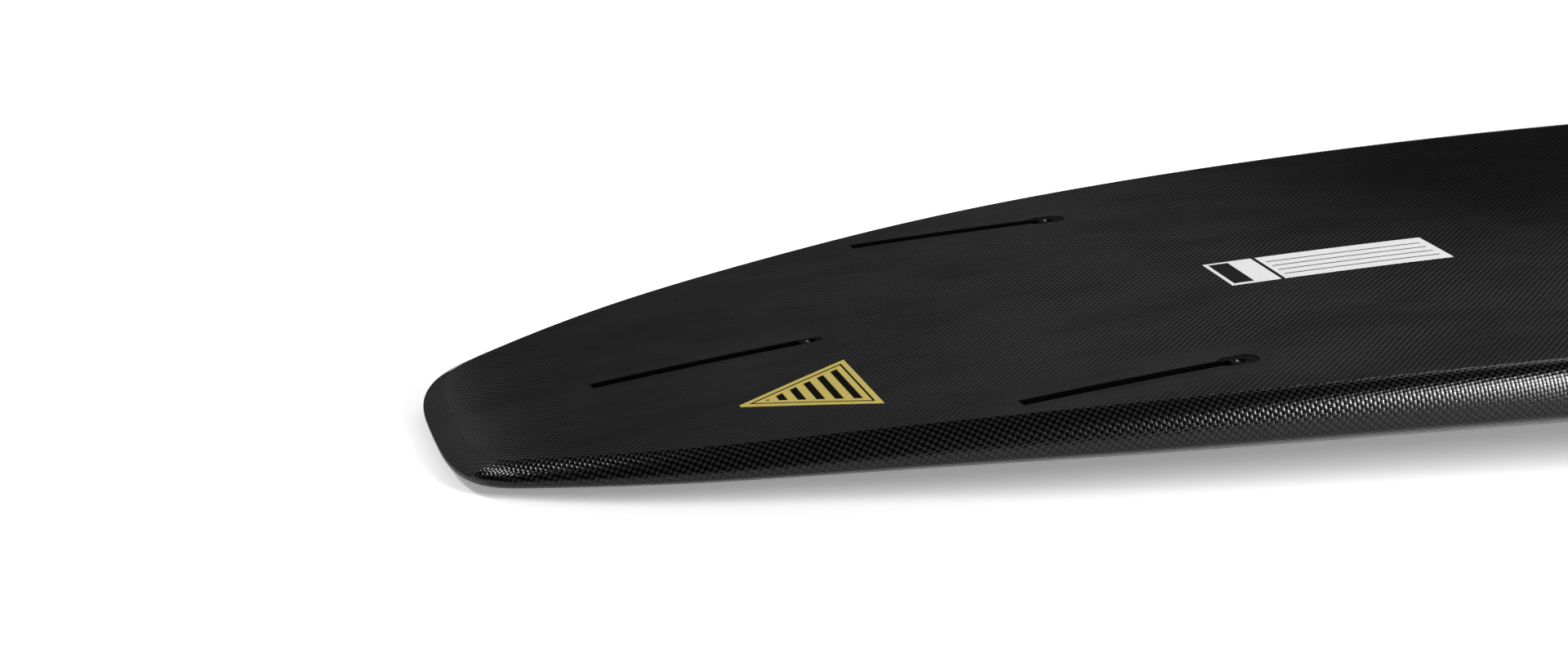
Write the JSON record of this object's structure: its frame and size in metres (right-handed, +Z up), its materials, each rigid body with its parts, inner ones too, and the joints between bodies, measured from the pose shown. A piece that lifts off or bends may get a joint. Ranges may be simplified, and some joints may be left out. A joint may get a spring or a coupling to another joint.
{
  "type": "directional surfboard with three fin slots",
  "caption": "Pointed-nose, square-tail board with a carbon skin over a foam core, lying bottom up, with empty single-tab fin slots and set screws, a size label and a plain gold decal.",
  "frame": {"origin": "middle of the bounding box, on the surface that the board lies on", "axes": "+X towards the nose, +Z up out of the bottom (the board lies on its deck), -Y to the rail nearer the picture's camera, which is the board's left rail"},
  "size_m": [1.8042, 0.4784, 0.1025],
  "materials": {
    "foam": "closed-cell foam bead, unpainted",
    "dense_foam": "high-density foam, unpainted",
    "carbon_matte": "plain-weave carbon laminate under a sanded matt coat",
    "carbon_gloss": "plain-weave carbon laminate under a polished clear coat",
    "box_plastic": "black moulded plastic",
    "stainless": "turned stainless steel",
    "plug_plastic": "black moulded plastic",
    "membrane": "white breathable film",
    "label_sheet": "white printed film",
    "gold_film": "pale gold film"
  },
  "bodies": {
    "board": {"foam_core": "foam", "bottom_skin": "carbon_matte", "rail_skin": "carbon_gloss", "deck_skin": "carbon_gloss", "leash_cup": "plug_plastic", "leash_bar": "stainless", "leash_block": "dense_foam", "vent_body": "plug_plastic", "vent_membrane": "membrane", "vent_cap": "plug_plastic", "size_label": "label_sheet", "gold_decal": "gold_film", "centre_fin_box": "box_plastic", "centre_box_block": "dense_foam", "left_fin_box": "box_plastic", "left_box_block": "dense_foam", "right_fin_box": "box_plastic", "right_box_block": "dense_foam"},
    "centre_screw": {"centre_fin_screw": "stainless"},
    "left_screw": {"left_fin_screw": "stainless"},
    "right_screw": {"right_fin_screw": "stainless"}
  },
  "joints": [
    {"name": "centre_screw_travel", "type": "slide", "parent": "board", "child": "centre_screw", "axis": [0.5872, 0, 0.8094], "range_m": [0, 0.007]},
    {"name": "left_screw_travel", "type": "slide", "parent": "board", "child": "left_screw", "axis": [0.6226, 0.0419, 0.7814], "range_m": [0, 0.007]},
    {"name": "right_screw_travel", "type": "slide", "parent": "board", "child": "right_screw", "axis": [0.6226, -0.0419, 0.7814], "range_m": [0, 0.007]}
  ]
}
